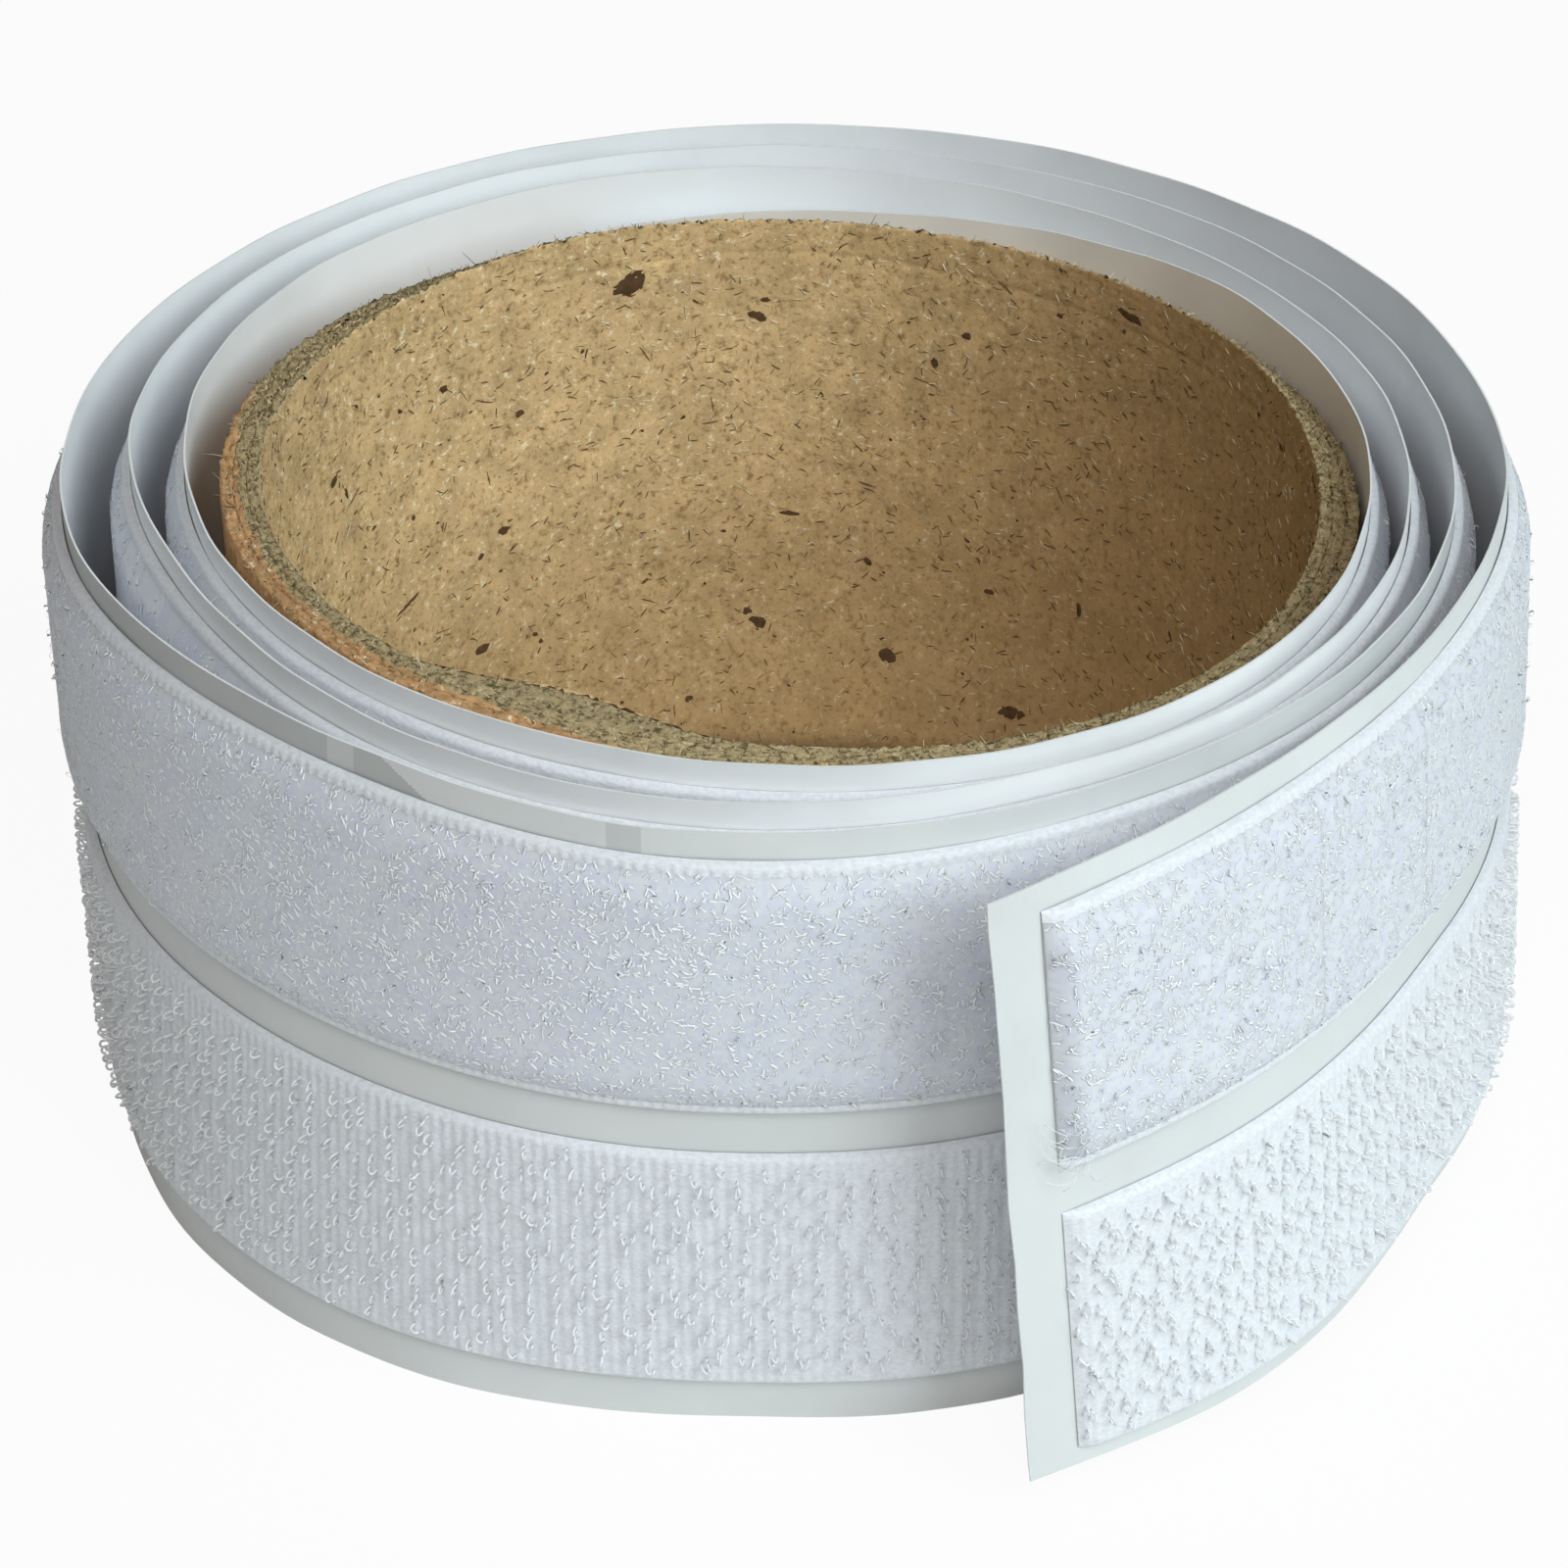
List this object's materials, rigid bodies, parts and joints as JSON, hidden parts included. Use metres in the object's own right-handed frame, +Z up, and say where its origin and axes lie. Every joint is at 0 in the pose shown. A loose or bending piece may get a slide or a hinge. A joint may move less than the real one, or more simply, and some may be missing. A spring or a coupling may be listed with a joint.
{
  "type": "hook and loop tape roll",
  "caption": "Loose roll of white adhesive hook and loop tape on a brown chipboard core: a loop strip above a hook strip on a paper liner, with its free end lifted.",
  "frame": {"origin": "middle of the box around the roll, on the surface that it stands on", "axes": "+Z up along the core's axis, -Y to the front, where the free end of the tape stands off the roll"},
  "size_m": [0.1138, 0.1208, 0.0492],
  "materials": {
    "liner_paper": "satin glassine",
    "adhesive_film": "tacky film",
    "woven_ground": "woven",
    "loop_pile": "fluffy",
    "hook_pile": "rows of hooks",
    "chipboard": "matte, flecked"
  },
  "bodies": {
    "core": {"core_inner_ply": "chipboard", "core_middle_ply": "chipboard", "core_outer_ply": "chipboard"},
    "wound_coil": {"liner_coil": "liner_paper", "loop_adhesive_coil": "adhesive_film", "loop_ground_coil": "woven_ground", "loop_pile_coil": "loop_pile", "hook_adhesive_coil": "adhesive_film", "hook_ground_coil": "woven_ground", "hook_field_coil": "hook_pile"},
    "tail_link_1": {"liner_tail_1": "liner_paper", "loop_adhesive_tail_1": "adhesive_film", "loop_ground_tail_1": "woven_ground", "loop_pile_tail_1": "loop_pile", "hook_adhesive_tail_1": "adhesive_film", "hook_ground_tail_1": "woven_ground", "hook_field_tail_1": "hook_pile"},
    "tail_link_2": {"liner_tail_2": "liner_paper", "loop_adhesive_tail_2": "adhesive_film", "loop_ground_tail_2": "woven_ground", "loop_pile_tail_2": "loop_pile", "hook_adhesive_tail_2": "adhesive_film", "hook_ground_tail_2": "woven_ground", "hook_field_tail_2": "hook_pile"},
    "tail_link_3": {"liner_tail_3": "liner_paper", "loop_adhesive_tail_3": "adhesive_film", "loop_ground_tail_3": "woven_ground", "loop_pile_tail_3": "loop_pile", "hook_adhesive_tail_3": "adhesive_film", "hook_ground_tail_3": "woven_ground", "hook_field_tail_3": "hook_pile"},
    "tail_end": {"liner_end": "liner_paper", "loop_adhesive_end": "adhesive_film", "loop_ground_end": "woven_ground", "loop_pile_end": "loop_pile", "hook_adhesive_end": "adhesive_film", "hook_ground_end": "woven_ground", "hook_field_end": "hook_pile"},
    "loop_flap": {"loop_adhesive_flap": "adhesive_film", "loop_ground_flap": "woven_ground", "loop_pile_flap": "loop_pile"},
    "hook_flap": {"hook_adhesive_flap": "adhesive_film", "hook_ground_flap": "woven_ground", "hook_field_flap": "hook_pile"}
  },
  "joints": [
    {"name": "coil_slip", "type": "slide", "parent": "core", "child": "wound_coil", "axis": [0, 0, 1], "range_m": [0, 0.05]},
    {"name": "tail_bend_1", "type": "hinge", "parent": "wound_coil", "child": "tail_link_1", "pos_m": [0.05316, 0.01708, 0.0246], "axis": [-0.0549, -0.0191, 0.9983], "range_deg": [0, 28], "stiffness_Nm_per_rad": 0.01},
    {"name": "tail_bend_2", "type": "hinge", "parent": "tail_link_1", "child": "tail_link_2", "pos_m": [0.05527, -0.00432, 0.0246], "axis": [-0.0742, 0.0037, 0.9972], "range_deg": [0, 28], "stiffness_Nm_per_rad": 0.01},
    {"name": "tail_bend_3", "type": "hinge", "parent": "tail_link_2", "child": "tail_link_3", "pos_m": [0.04908, -0.02484, 0.0246], "axis": [-0.0798, 0.0411, 0.996], "range_deg": [0, 28], "stiffness_Nm_per_rad": 0.01},
    {"name": "end_bend", "type": "hinge", "parent": "tail_link_3", "child": "tail_end", "pos_m": [0.03758, -0.04292, 0.0246], "axis": [-0.0814, 0.0878, 0.9928], "range_deg": [-8, 60], "stiffness_Nm_per_rad": 0.01},
    {"name": "loop_peel", "type": "hinge", "parent": "tail_end", "child": "loop_flap", "pos_m": [0.0335, -0.04751, 0.0246], "axis": [-0.0862, 0.0891, 0.9923], "range_deg": [0, 100]},
    {"name": "hook_peel", "type": "hinge", "parent": "tail_end", "child": "hook_flap", "pos_m": [0.0335, -0.04751, 0.0246], "axis": [-0.0862, 0.0891, 0.9923], "range_deg": [0, 100]}
  ],
  "couplings": [
    {"joint": "tail_bend_2", "follows": "tail_bend_1", "ratio": 1},
    {"joint": "tail_bend_3", "follows": "tail_bend_1", "ratio": 1}
  ]
}
